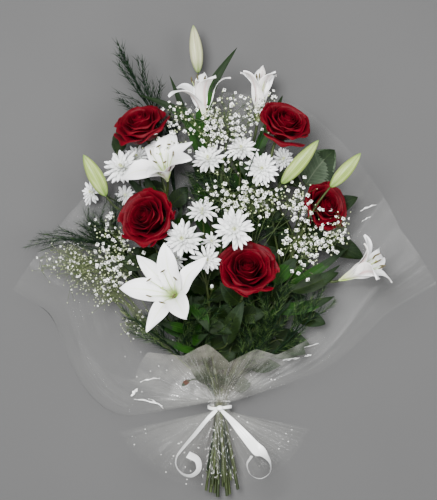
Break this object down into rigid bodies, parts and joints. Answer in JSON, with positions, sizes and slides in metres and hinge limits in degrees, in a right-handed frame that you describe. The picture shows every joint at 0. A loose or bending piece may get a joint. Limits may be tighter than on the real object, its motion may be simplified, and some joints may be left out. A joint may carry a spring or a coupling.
{
  "type": "flower bouquet",
  "caption": "Hand-tied bouquet of roses, lilies, spray chrysanthemums and gypsophila in a clear film wrap tied with ribbon, lying on its back.",
  "frame": {"origin": "on the flat back of the film wrap, under the middle of the flower heads", "axes": "+Y from the cut stems to the flower heads, +Z from the back to the front of the bouquet, +X to the right seen from the front"},
  "size_m": [0.6442, 0.7196, 0.1798],
  "materials": {
    "rose_red": "velvety petal",
    "lily_white": "waxy petal",
    "bud_green": "waxy petal",
    "chrysanthemum_white": "matt petal",
    "gypsophila": "matt floret",
    "fern_green": "matt needle",
    "leaf_green": "semi-gloss leaf",
    "stem_green": "semi-gloss stem",
    "clear_film": "clear gloss film",
    "white_ribbon": "satin",
    "binding_twine": "twisted fibre"
  },
  "bodies": {
    "root": {"binding_twine": "binding_twine", "chrysanthemum_01": "chrysanthemum_white", "chrysanthemum_02": "chrysanthemum_white", "chrysanthemum_03": "chrysanthemum_white", "chrysanthemum_04": "chrysanthemum_white", "chrysanthemum_05": "chrysanthemum_white", "chrysanthemum_06": "chrysanthemum_white", "chrysanthemum_07": "chrysanthemum_white", "chrysanthemum_08": "chrysanthemum_white", "chrysanthemum_09": "chrysanthemum_white", "chrysanthemum_10": "chrysanthemum_white", "chrysanthemum_11": "chrysanthemum_white", "chrysanthemum_12": "chrysanthemum_white", "chrysanthemum_13": "chrysanthemum_white", "chrysanthemum_14": "chrysanthemum_white", "chrysanthemum_stem_1": "stem_green", "chrysanthemum_stem_2": "stem_green", "chrysanthemum_stem_3": "stem_green", "fern_1": "fern_green", "fern_2": "fern_green", "fern_3": "fern_green", "fern_4": "fern_green", "fern_5": "fern_green", "fern_6": "fern_green", "film_wrap": "clear_film", "gypsophila_1": "gypsophila", "gypsophila_2": "gypsophila", "gypsophila_3": "gypsophila", "gypsophila_4": "gypsophila", "gypsophila_5": "gypsophila", "leaf_stem_1": "leaf_green", "leaf_stem_2": "leaf_green", "leaf_stem_3": "leaf_green", "lily_1_bloom": "lily_white", "lily_1_stem": "stem_green", "lily_2_bloom": "lily_white", "lily_2_stem": "stem_green", "lily_3_bloom": "lily_white", "lily_3_stem": "stem_green", "lily_4_bloom": "lily_white", "lily_4_stem": "stem_green", "lily_5_bloom": "lily_white", "lily_5_stem": "stem_green", "lily_bud_1": "bud_green", "lily_bud_2": "bud_green", "lily_bud_3": "bud_green", "lily_bud_4": "bud_green", "ribbon": "white_ribbon", "rose_1_bloom": "rose_red", "rose_1_stem": "stem_green", "rose_2_bloom": "rose_red", "rose_2_stem": "stem_green", "rose_3_bloom": "rose_red", "rose_3_stem": "stem_green", "rose_4_bloom": "rose_red", "rose_4_stem": "stem_green", "rose_5_bloom": "rose_red", "rose_5_stem": "stem_green"}
  },
  "joints": []
}
